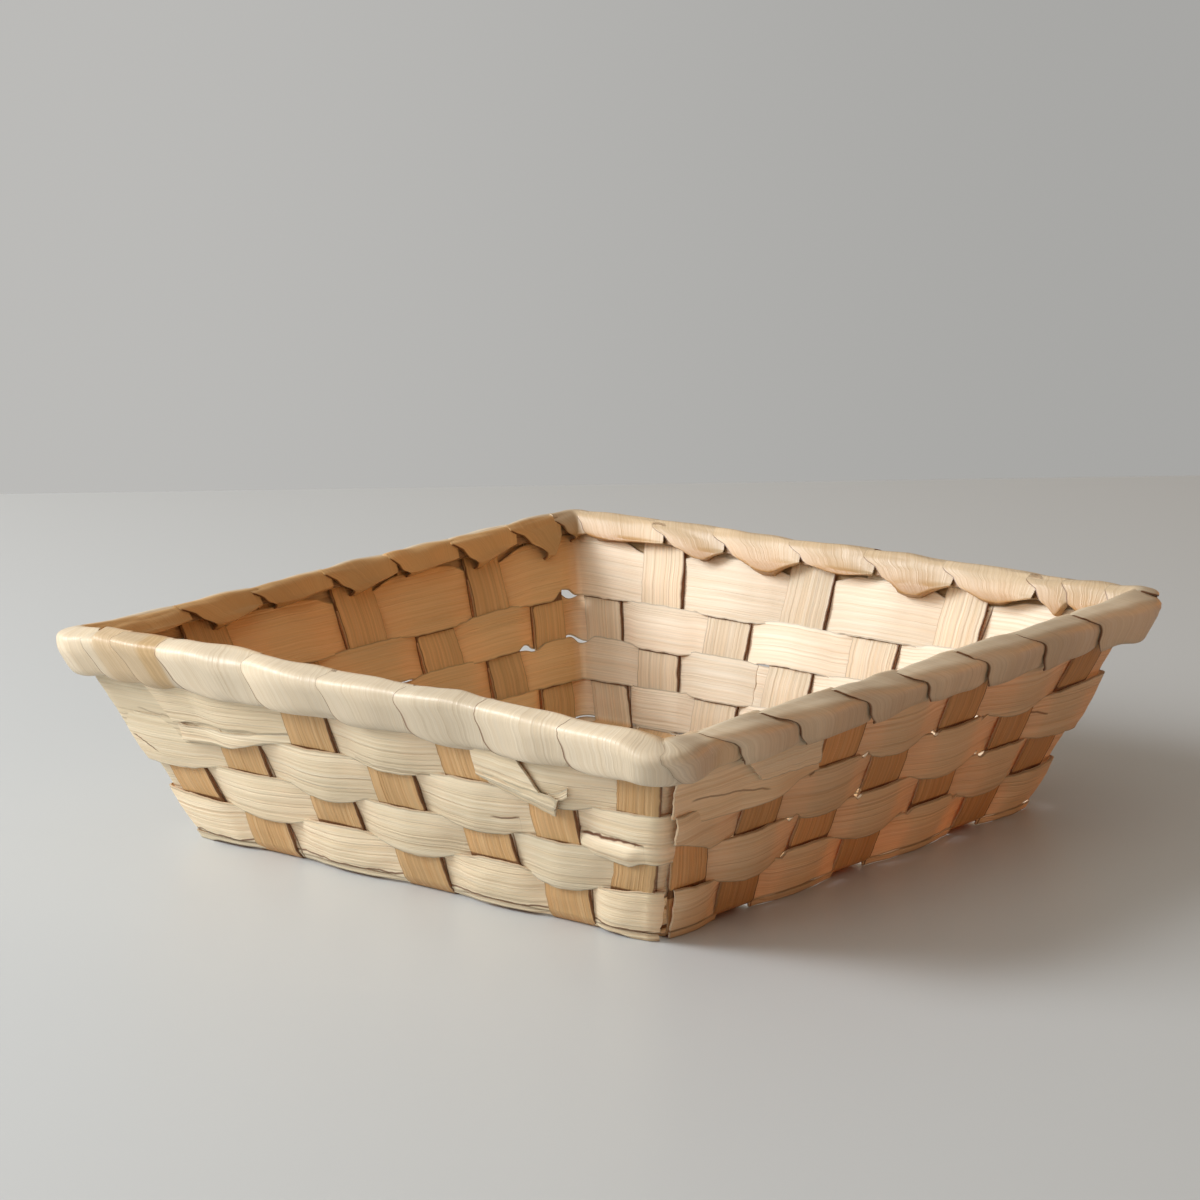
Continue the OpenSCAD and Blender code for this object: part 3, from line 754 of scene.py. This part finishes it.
def third_edges(l, h=half_side):
    low, high = row.at(l, "cen") - row.at(l, "lo"), row.at(l, "cen") + row.at(l, "up")
    low = low - 2.0 * smooth((l - (h - 30)) / 8) * smooth((h - 4 - l) / 6)
    cut = np.interp(l - ps, [0, 3, 15, 19, 26], [37.0, 36.3, 31.2, 29.0, 20.0])
    return np.maximum(low, cut) if l[0] < ps + 1 else low, high


lay(b, row, ps, p1 - 1.5, 0.72, seed=13, start=(1.3, 0.6), end=(-0.9, 0.4), hole=lambda l, s: third_lip(l, s), slit=[(half_side - 30, half_side - 3, 34.6, 36.0, 1.0), (row.place(0, 44), row.place(0, 56), 35.0, 35.6, 0.8), (row.place(0, -105), row.place(0, -95), 38.4, 33.0, 1.0), (row.place(1, 66) - row.total, row.place(1, 82) - row.total, 41.0, 38.0, 0.7)], edges=third_edges)
b.make(mat_weaver, ["weaver_row_3"])

# fourth row, with lapped ends that show at the left corner and on the right wall by the near corner
row = rows[3]
b = Build("weaver_row_fourth")
p0 = row.place(2, 70)
lay(b, row, p0 - row.total, p0 + 28, 0.46, seed=14, end=(0.75, -2.0), lift=lambda l, p0=p0: 0.72 * smooth((l - p0 + 2) / 6), slit=(row.place(0, -8), row.place(0, 24), 46.0, 45.0, 0.3))


def over_path(l, q0, full=row.full):
    """A constant 1.25 mm out from the stakes' plane, for a lap over the stake at the corner and the float beyond it."""
    return 1.25 + 0.0 * l


# right wall: from the near corner over the first stake and on the second one's float
x0, x1 = row.full / 2 + 2.6, row.place(1, -44)
n_lap = lambda l: np.maximum(row.at(l, "n") + 0.78, 1.45)
lay(b, row, x0, x1, 0.88, seed=24, thick=0.6, n_of=n_lap, edges=lambda l: (np.interp(l, [x0, x0 + 14, x0 + 30, x0 + 50, x1], [45.5, 41.5, 40.8, 42.6, 46.5]), 60.5 + 0 * l), start=(0.1, 0.3), end=(-0.5, -3.0), tilt=0.3, cup=0.35, with_lines=False, slit=(row.place(1, -102), row.place(1, -66), 50.5, 47.0, 0.6))
# left corner: over the first front stake, split lengthwise, in two layers, and in behind the stake after it
y0, y1 = row.place(0, 0) - row.full / 2 - 34, row.place(0, -26)
low_l = lambda l: np.interp(l, [y0, -108, -84, -60, -45, y1], [40.0, 40.5, 38.6, 40.5, 44.0, 45.2])
n_lap2 = lambda l: row.at(l, "n") + 0.78 + np.maximum(0, 0.95 - row.at(l, "n")) * smooth((-50 - l) / 9)
lay(b, row, y0, -62, 0.05, seed=34, thick=0.5, n_of=lambda l: n_lap2(l) - 0.52, edges=lambda l: (low_l(l), 60.3 + 0 * l), start=(-0.8, 0), tilt=0.15, cup=0.25, with_lines=False, slit=(-100, -72, 48.5, 46.0, 0.35))
cut = lambda l: 46.6 + 0.045 * (l + 80) + 0.25 * wob(l, 66, 20)
gap = lambda l: 1.45 * smooth((l + 81) / 4) * smooth((-45.5 - l) / 5)
lay(b, row, -82.5, y1, 0.63, seed=44, thick=0.5, kk=9, n_of=n_lap2, edges=lambda l: (np.minimum(low_l(l) + 1.6 - 0.9 * smooth((l + 90) / 40), cut(l) - 1.5), cut(l) - 0.5 * gap(l) - 0.08), start=(0.35, 1.2), tilt=0.1, cup=0.2, with_lines=False)
lay(b, row, -85.5, y1, 0.27, seed=54, thick=0.5, kk=11, n_of=n_lap2, edges=lambda l: (cut(l) + 0.5 * gap(l) + 0.08, 60.5 + 0 * l), start=(0.45, -2.0), tilt=0.1, cup=0.2, with_lines=False)
b.make(mat_weaver, ["weaver_row_4"])

row = rows[4]
b = Build("weaver_row_in_rim")
lay(b, row, row.place(2, 5) - row.total, row.place(2, 5) - 1, 0.9, seed=15, thick=0.6, tilt=0, cup=0, edges=lambda l: (66.2 + 0 * l, 70.6 + rim_sag(l)))
b.make(mat_weaver, ["weaver_row_5_in_rim"])


# ---------------------------------------------------------------- hoops inside the rim
# The inner hoop's inner face is painted dark by its shade share of 0.6, standing for the deep shadow seen between the
# inside flaps.
for name, cad, n_in, n_out, s_lo, shade in (("hoop_inner", "inner_rim_hoop", -3.2, -2.1, 66.3, 0.6), ("hoop_outer", "outer_rim_hoop", 1.55, 3.0, 61.9, 0.0)):
    b = Build(name)
    full = side_len(rim_s)
    l = np.arange(0, 4 * full + 1, 2.0) - full / 2
    l[-1] = l[0] + 4 * full - 0.3
    v = np.linspace(0, 1, 9)[None, :]
    s = s_lo + (71.9 - s_lo) * v + (rim_sag(l)[:, None] - 0.5) * v
    crown = 0.12 * (1 - (2 * v - 1) ** 2)
    o = ring(l[:, None] + 0 * s, n_out + crown - (0.15 if n_out > 0 else 0), s, rim_s)
    i_ = ring(l[:, None] + 0 * s, n_in + 0 * crown, s, rim_s)
    b.sheet(o, i_, l[:, None], (v - 0.5) * 10, 0.3, dark=(0.0, shade))
    b.make(mat_hoop, [cad])


# ---------------------------------------------------------------- rim lashing
def rim_section(ang, o, l, low):
    """n and s of the lashing at an angle round the rim's section: 0 outside, 90 top, 180 inside, 270 or -90 below. low is how far it reaches down inside."""
    a = np.radians(ang)
    sv = soft_pow(np.sin(a), 0.55)
    top = smooth((sv + 0.4) / 1.4)
    inside = smooth((ang - 150) / 30)
    down = rim_b * (1 - inside) + low * inside
    reach = np.where(sv < 0, down + o, rim_b + o)
    return (rim_a + o) * soft_pow(np.cos(a), 0.55), rim_s + reach * sv + rim_sag(l) * top


# Each turn comes up inside at a gap between stakes, goes over the top and down the outside, and in again at the next gap.
# The tables give the gaps, each turn's first edge at the top, and how far on and how low its neighbour's inside flap points.
turn_gap = [
    [-109, -92, -77, -40, -8.5, 22.7, 54.5, 88, 118],
    [-111, -82, -47, -16.8, 13.5, 47, 82.7, 118],
    [-112, -88, -64, -35.5, -5.3, 24, 57, 90, 118],
    [-112, -84, -52, -17, 14.5, 47, 80, 118],
]
turn_edge = [
    [-106, -91.5, -73, -37, -6, 24, 54, 84, 117],
    [-102, -75, -42, -13, 17, 47, 77, 113],
    [-106, -90, -76.4, -44, -12.2, 18.4, 51.3, 78, 112],
    [-104, -80.9, -51, -20.4, 10.1, 43.1, 74.5, 112],
]
flap_on = [
    [6, 6, 9, 9, 9, 9, 9, 9, 5],
    [8, 9, 9, 9, 9, 9, 9, 5],
    [6, 9, 15, 16, 16, 15, 17, 17, 5],
    [8, 15.5, 10, 6.5, 9, 6.5, 9.5, 6],
]
flap_z = [
    [61, 60, 59.5, 62, 59.5, 62, 59.5, 61, 62],
    [61, 59.5, 62, 59.5, 62, 59.5, 61, 62],
    [61, 60, 58.8, 60.6, 58.8, 62.6, 59.0, 60.5, 62],
    [61, 57.2, 59.4, 62.0, 60.2, 61.8, 59.8, 62],
]
turns = []
for k in range(4):
    for g, e, on, z in zip(turn_gap[k], turn_edge[k], flap_on[k], flap_z[k]):
        turns.append([k * rim_full + g, k * rim_full + e, k, on, (z - 1.55) / cs])
n_turns = len(turns)

ANG = np.array([270, 262, 250, 238, 226, 214, 202, 192, 180, 168, 155, 142, 130, 118, 107, 98, 90, 78, 66, 52, 38, 24, 10, -4, -18, -30, -42, -52, -62, -71, -79, -85], float)


def turn_at(i):
    w, j = divmod(i, n_turns)
    return turns[j][0] + w * 4 * rim_full, turns[j][1] + w * 4 * rim_full, turns[j][3], turns[j][4]


def make_turn(b, i, seed):
    (g0, e0, _, _), (g1, e1, on1, s_tip) = turn_at(i), turn_at(i + 1)
    rng = np.random.default_rng(seed)
    p = e1 - e0
    fa = np.linspace(0, len(ANG) - 1, 3 * (len(ANG) - 1) + 1)
    ang = np.interp(fa, np.arange(len(ANG)), ANG)
    outer_l = np.interp(-ang, -np.array([100, 90, 60, 25, 0, -25, -45, -62, -75, -90.0]),
        [e0 - 0.5, e0 - 0.5, e0 - 1.5, e0 - 1.0, e0 + 0.04 * p, e0 + 0.15 * p, e0 + 0.31 * p, e0 + 0.54 * p, min(e0 + 0.78 * p, g1 - 4), g1 - 4])
    if turns[i % n_turns][2] == 1:
        outer_l = outer_l + np.interp(-ang, -np.array([100, 60, 25, -25, -60, -90.0]), [0, 5, 10, 10, 4, 0])
    inner_l = np.interp(-ang, -np.array([270, 200, 172, 160, 120, 100.0]), [e0 + 0.3, e0 + 0.3, e0 + 0.2, e0 - 0.8, e0 - 0.8, e0 - 0.5])
    inner_l = inner_l - np.interp(-ang, -np.array([270, 240, 225, 172, 150, 115, 100.0]), [0, 1, 1, 1, 1, 0.3, 0]) * (0.0, 0.0, 4.5, 1.5)[turns[i % n_turns][2]]
    left = np.where(ang >= 100, inner_l, outer_l)
    on_r = 10 if turns[(i + 1) % n_turns][2] == 1 else 0
    outer_r = np.interp(-ang, -np.array([100, 90, 60, 0, -25, -45, -62, -75, -90.0]), [e1 + 1.5, e1 + 2.5 + 0.3 * on_r, e1 + 3.5 + 0.6 * on_r, e1 + 4.5 + on_r, e1 + 4 + on_r, e1 + 2.5 + 0.7 * on_r, min(e1 + 1, g1 + 7), g1 + 5.5, g1 + 4])
    # inside, the far edge runs slanting from the top to the flap's point
    inner_r = np.interp(-ang, -np.array([270, 235, 214, 196, 180, 169, 158, 100.0]), [e1 - on1 - 1.5, e1 - on1 - 0.6, e1 - on1, e1 - 0.8 * on1, e1 - 0.42 * on1, e1 - 0.05 * on1, e1 + 1.3, e1 + 1.5])
    right = np.where(ang >= 100, inner_r, outer_r)
    left, right = gauss(left, 0.8), gauss(right, 0.8)
    left = left + 0.5 * wob(ang, seed + 1, 110) * smooth((ang + 90) / 30) * smooth((100 - ang) / 20)
    kk = 23
    t = np.linspace(0, 1, kk)[None, :]
    l = left[:, None] + (right - left)[:, None] * t
    A = ang[:, None] + 0 * l
    # how low the flap hangs: lowest at its point, and higher towards the turn before
    s_up = (62.9 + 0.5 * rng.random() - 1.55) / cs
    hang = np.clip(t / (0.55 if on1 > 12 else 0.9), 0, 1) ** 1.15 * (1 - 0.1 * smooth((t - 0.9) / 0.1))
    low = rim_s - (s_up + (s_tip - s_up) * hang) + 0 * l
    side_ = smooth((A - 80) / 30)
    lay_out = 1.05 - 0.72 * smooth(t / 0.75)
    lay_in = 0.3 + (0.25 + 0.55 * smooth((A - 135) / 30)) * smooth((t - 0.15) / 0.85)
    o = lay_out * (1 - side_) + lay_in * side_
    prof = np.sin(math.pi * np.clip(t, 0.03, 0.97)) ** 0.6
    bulge_in = (0.9 + 0.9 * (on1 > 12) + 0.5 * rng.random()) * np.exp(-((A - 206) / 24) ** 2) * prof
    bulge_out = 0.5 * np.exp(-((A + 30) / 32) ** 2) * (1 - t) ** 0.5
    roll = (0.25 + 0.35 * rng.random()) * np.exp(-((A - 70) / 45) ** 2) * np.sin(math.pi * t)
    lump = 0.42 * wob2(l, A, 77, 46, 150) + 0.1 * wob2(l, A, 78, 19, 170)
    own = 0.26 * wob2(l - left[:, None], A, seed + 5, 20, 110)
    ov = 0.5 * np.exp(-((l - (e0 + (0.6 + 0.12 * rng.random()) * p)) / 7) ** 2 - ((A - 8) / 30) ** 2)
    fade = smooth((A + 90) / 22) * smooth((270 - A) / 22)
    frac = np.clip((l - left[:, None]) / p, 0, 1)
    side_i = turns[i % n_turns][2]
    puff = (0.7, 1.9, 0.4, 0.5)[side_i] * (0.75 + 0.5 * rng.random())
    oval = puff * np.sin(math.pi * np.clip(frac * 1.02, 0, 1)) ** (0.8 if side_i == 1 else 1.2) * np.exp(-((A - (22 if side_i == 1 else 40)) / 62) ** 2)
    o = o + (bulge_in + bulge_out + roll + lump + own + ov + oval) * fade - 0.15
    o = np.maximum(o, 0.12)
    n, s = rim_section(A, o, l, low)
    n_in, s_in = rim_section(A, o - lash_t, l, low)
    qc = np.mod(l + rim_full / 2, rim_full) - rim_full / 2
    full_ = 1.9 * np.exp(-((rim_full / 2 - np.abs(qc)) / 8.5) ** 2) * smooth((110 - A) / 40) * smooth((A + 95) / 40)
    n, n_in = n + full_, n_in + full_
    outer, inner = ring(l, n, s, rim_s), ring(l, n_in, s_in, rim_s)
    mid = outer[:, kk // 2]
    along = np.concatenate([[0], np.cumsum(np.linalg.norm(np.diff(mid, axis=0), axis=1))])
    wide = np.max(right - left)
    here = (right - left)[:, None]
    bold = (0.3 + 1.3 * smooth((40 - A) / 50) if turns[i % n_turns][2] == 1 else 0.6 + 1.1 * smooth((45 - A) / 60)) * (1.0 if rng.random() < 0.6 else 0.45) * (1 - 0.85 * np.exp(-((rim_full / 2 - np.abs(qc)) / 9) ** 4) * (np.abs(qc) > 90))
    bold = np.maximum(bold, 0.08)
    # the front wall's turns by the left corner get a darker golden tone of their own; on the other walls a per-wall
    # share darkens the rim, most on the back wall, as painted shade
    golden_tone_and_shade = 0.55 * smooth((qc + 104) / 5) * smooth((-73 - qc) / 2) + 0.4 * smooth((qc + 82) / 2) * smooth((-73 - qc) / 2) if turns[i % n_turns][2] == 0 else (0.0, 0.06, 0.42, 0.1)[turns[i % n_turns][2]] * (0.4 + 0.6 * rng.random()) + 0 * l
    # painted orange shade: the rim's inside, and a little of its outside, takes its wall's share; on the back wall the
    # flaps turn darker orange towards their lower ends, as painted shade on their undersides
    painted_orange_shade = painted_shade_per_wall[turns[i % n_turns][2]] * smooth((A - 95) / 25) + 0.3 * painted_shade_per_wall_out[turns[i % n_turns][2]] * smooth((75 - A) / 25)
    if turns[i % n_turns][2] == 2:
        painted_orange_shade = 0.15 + 0.85 * smooth((A - 165) / 32) * smooth(t / 0.4)
    # painted shade: dark lines along each turn's edge, wider where bold is larger, standing for the shaded gap where
    # one turn lies over the next
    line = np.where(A < 96, t * here / bold, (1 - t) * here + 1.0 * smooth((165 - A) / 20)) + 0.05
    # painted shade: the flaps' undersides on the back and left walls, a little all over the back flaps, and the
    # lashing's ends where they go into the wall are darkened, as the shade in those places
    painted_underside_shade = smooth((A - 172) / 30) * smooth(t / 0.4) * (0.0, 0.0, 0.26, 0.12)[turns[i % n_turns][2]] + (0.0, 0.0, 0.06, 0.0)[turns[i % n_turns][2]]
    dark = np.maximum(0.5 * smooth((np.abs(A - 90) - 150) / 20), painted_underside_shade)
    b.sheet(inner, outer, along[:, None], ((t - 0.5) * wide) + 0 * l, rng.random(), line=line, edge=np.minimum(t, 1 - t) * here, dark=dark, pale=golden_tone_and_shade, painted_orange_shade=painted_orange_shade)


sides = ("front", "right", "back", "left")
for k in range(4):
    b = Build(f"lashing_{sides[k]}")
    for i, tr in enumerate(turns):
        if tr[2] == k:
            make_turn(b, i, 300 + i * 11)
    b.make(mat_lash, [f"rim_lashing_{sides[k]}"])


# ---------------------------------------------------------------- loose ends
def patch(b, side, corners, n_of, tone, thick=0.6, m=26, k=14, seed=5, curl=0.0):
    """A loose end on a wall. corners are four (q, z): start low, start high, end high, end low; fibres run from start to end."""
    u, w = np.linspace(0, 1, m)[:, None], np.linspace(0, 1, k)[None, :]
    a, bb, c, d = [np.array(x, float) for x in corners]
    pt = (1 - u)[..., None] * ((1 - w)[..., None] * a + w[..., None] * bb) + u[..., None] * ((1 - w)[..., None] * d + w[..., None] * c)
    q, z = pt[..., 0], pt[..., 1]
    q = q + 0.25 * wob(z + 0 * q, seed + 1, 6) * u
    z = z + 0.25 * wob(q, seed + 2, 9)
    n = n_of(u + 0 * w, w + 0 * u) + curl * u ** 2
    s = (z + sn * n) / cs
    n = n + 0.1 * wob2(q, s, seed, 9, 6)
    long_ = np.linalg.norm((c + d) / 2 - (a + bb) / 2)
    wide = np.linalg.norm(bb - a)
    across = (w - 0.5) * wide + 0 * u
    edge = np.minimum(np.minimum(w, 1 - w) * wide + 0 * u, (1 - u) * long_ + 0 * w)
    b.sheet(wall(side, q, n + thick / 2, s), wall(side, q, n - thick / 2, s), u * long_, across, tone, edge=edge)


b = Build("tail_front")
patch(b, 0, [(45.5, 46.3), (46.5, 58), (62.0, 57.5), (71.0, 41.5)], lambda u, w: 2.7 + 1.0 * u * (1 - w) + 0.2 * w, 0.21, seed=71)
patch(b, 0, [(46.5, 45.4), (46.8, 47.6), (76.5, 43.6), (73.6, 39.2)], lambda u, w: 2.5 + 1.5 * u + 0.2 * w, 0.66, thick=0.5, seed=72)
patch(b, 0, [(49.0, 43.9), (48.6, 45.9), (74.5, 40.8), (72.8, 37.6)], lambda u, w: 2.25 + 1.2 * u + 0.1 * w, 0.83, thick=0.5, seed=73)
patch(b, 0, [(68.0, 40.2), (69.0, 42.8), (80.5, 47.4), (79.6, 44.6)], lambda u, w: 2.6 + 0.5 * u, 0.43, thick=0.5, seed=74)
b.make(mat_weaver, ["lashing_tail_front"])

b = Build("tail_right")
patch(b, 1, [(-72, 46.6), (-84, 56), (-48, 58), (-45, 46.3)], lambda u, w: 3.0 + 0.6 * (1 - w), 0.41, seed=75)
b.make(mat_weaver, ["lashing_tail_right"])


# ---------------------------------------------------------------- stage, lights, camera
az, el, roll = math.radians(40.681), math.radians(11.8655), math.radians(-0.888)
cam_at = Vector((0.7564, -0.8864, 0.3164))
fwd = Vector((-math.sin(az) * math.cos(el), math.cos(az) * math.cos(el), -math.sin(el)))
rt = fwd.cross(Vector((0, 0, 1))).normalized()
up = rt.cross(fwd)
r2 = math.cos(roll) * rt + math.sin(roll) * up
u2 = -math.sin(roll) * rt + math.cos(roll) * up
cam_data = bpy.data.cameras.new("camera")
cam = bpy.data.objects.new("camera", cam_data)
bpy.context.scene.collection.objects.link(cam)
m = Matrix((
    (r2.x, u2.x, -fwd.x, cam_at.x),
    (r2.y, u2.y, -fwd.y, cam_at.y),
    (r2.z, u2.z, -fwd.z, cam_at.z),
    (0, 0, 0, 1)))
cam.matrix_world = m
cam_data.lens, cam_data.sensor_width = 114.35, 36
cam_data.clip_start, cam_data.clip_end = 0.05, 40
bpy.context.scene.camera = cam

back_dir = Vector((-math.sin(az), math.cos(az), 0))
side_dir = Vector((math.cos(az), math.sin(az), 0))
far, near, half_w = 0.605, 4.0, 3.5
corners = [back_dir * far - side_dir * half_w, back_dir * far + side_dir * half_w, -back_dir * near + side_dir * half_w, -back_dir * near - side_dir * half_w]
fm = bpy.data.meshes.new("floor")
fm.from_pydata([(c.x, c.y, 0.0) for c in corners], [], [(3, 2, 1, 0)])
floor = bpy.data.objects.new("floor", fm)
bpy.context.scene.collection.objects.link(floor)
fmat = bpy.data.materials.new("floor_pale")
fmat.use_nodes = True
fb = fmat.node_tree.nodes["Principled BSDF"]
fb.inputs["Base Color"].default_value = (0.52, 0.543, 0.555, 1)
fb.inputs["Roughness"].default_value = 0.38
fb.inputs["Specular IOR Level"].default_value = 0.35
fm.materials.append(fmat)

world = bpy.data.worlds.new("studio")
bpy.context.scene.world = world
world.use_nodes = True
wt = world.node_tree
wt.nodes.clear()
wo = wt.nodes.new("ShaderNodeOutputWorld")
bg = wt.nodes.new("ShaderNodeBackground")
wt.links.new(bg.outputs[0], wo.inputs[0])
tc = wt.nodes.new("ShaderNodeTexCoord")
dot = wt.nodes.new("ShaderNodeVectorMath")
dot.operation = "DOT_PRODUCT"
dot.inputs[1].default_value = side_dir
wt.links.new(tc.outputs["Generated"], dot.inputs[0])
half = wt.nodes.new("ShaderNodeMath")
half.operation = "MULTIPLY_ADD"
half.inputs[1].default_value = 0.5
half.inputs[2].default_value = 0.5
wt.links.new(dot.outputs["Value"], half.inputs[0])


def across_room(stops):
    """Colours from the left of the room to its right."""
    r = wt.nodes.new("ShaderNodeValToRGB")
    r.color_ramp.interpolation = "EASE"
    while len(r.color_ramp.elements) < len(stops):
        r.color_ramp.elements.new(0.5)
    for e, (at, c) in zip(r.color_ramp.elements, stops):
        e.position = at
        e.color = (*c, 1)
    wt.links.new(half.outputs[0], r.inputs["Fac"])
    return r.outputs["Color"]


def mixed(f, a, b):
    n = wt.nodes.new("ShaderNodeMix")
    n.data_type = "RGBA"
    for i, v in ((0, f), (6, a), (7, b)):
        if isinstance(v, tuple):
            n.inputs[i].default_value = (*v, 1)
        else:
            wt.links.new(v, n.inputs[i])
    return n.outputs[2]


sep = wt.nodes.new("ShaderNodeSeparateXYZ")
wt.links.new(tc.outputs["Generated"], sep.inputs[0])
high = wt.nodes.new("ShaderNodeMapRange")
high.interpolation_type = "SMOOTHSTEP"
high.inputs["From Min"].default_value, high.inputs["From Max"].default_value = 0.68, 0.96
wt.links.new(sep.outputs["Z"], high.inputs["Value"])
seen = across_room([(0.0, (0.56, 0.55, 0.53)), (0.42, (0.50, 0.495, 0.48)), (0.58, (0.39, 0.387, 0.375)), (1.0, (0.36, 0.355, 0.345))])
low = wt.nodes.new("ShaderNodeMapRange")
low.interpolation_type = "SMOOTHSTEP"
low.inputs["From Min"].default_value, low.inputs["From Max"].default_value = 0.1, 0.36
wt.links.new(sep.outputs["Z"], low.inputs["Value"])
left_part = [(0.0, (0.54, 0.53, 0.51)), (0.42, (0.55, 0.53, 0.49))]
side_low = across_room(left_part + [(0.6, (0.40, 0.27, 0.16)), (0.85, (1.5, 0.57, 0.14)), (1.0, (1.5, 0.56, 0.135))])
side_high = across_room(left_part + [(0.6, (0.20, 0.185, 0.16)), (0.85, (0.06, 0.05, 0.04)), (1.0, (0.06, 0.048, 0.038))])
lighting = mixed(high.outputs[0], mixed(low.outputs[0], side_low, side_high), (0.60, 0.53, 0.44))
path = wt.nodes.new("ShaderNodeLightPath")
wt.links.new(mixed(path.outputs["Is Camera Ray"], lighting, seen), bg.inputs["Color"])


def area(name, direction, dist, size, power, colour):
    d = bpy.data.lights.new(name, "AREA")
    d.shape, d.size, d.energy, d.color = "SQUARE", size, power, colour
    o = bpy.data.objects.new(name, d)
    bpy.context.scene.collection.objects.link(o)
    at = Vector(direction).normalized() * dist
    o.location = at
    o.rotation_mode = "QUATERNION"
    o.rotation_quaternion = (-at).to_track_quat("-Z", "Y")
    return o


key_el, key_turn = math.radians(31.5), math.radians(0.5)
key_dir = -side_dir * math.cos(key_turn) - back_dir * math.sin(key_turn)
area("key", (key_dir.x * math.cos(key_el), key_dir.y * math.cos(key_el), math.sin(key_el)), 1.6, 0.7, 27.5, (0.97, 0.985, 1.0))
fill_el, fill_turn = math.radians(24), math.radians(52)
fill_dir = -side_dir * math.cos(fill_turn) - back_dir * math.sin(fill_turn)
area("fill", (fill_dir.x * math.cos(fill_el), fill_dir.y * math.cos(fill_el), math.sin(fill_el)), 1.8, 1.2, 7.0, (1.0, 0.95, 0.87))

bpy.context.scene.view_settings.view_transform = "Standard"
bpy.context.scene.view_settings.look = "None"
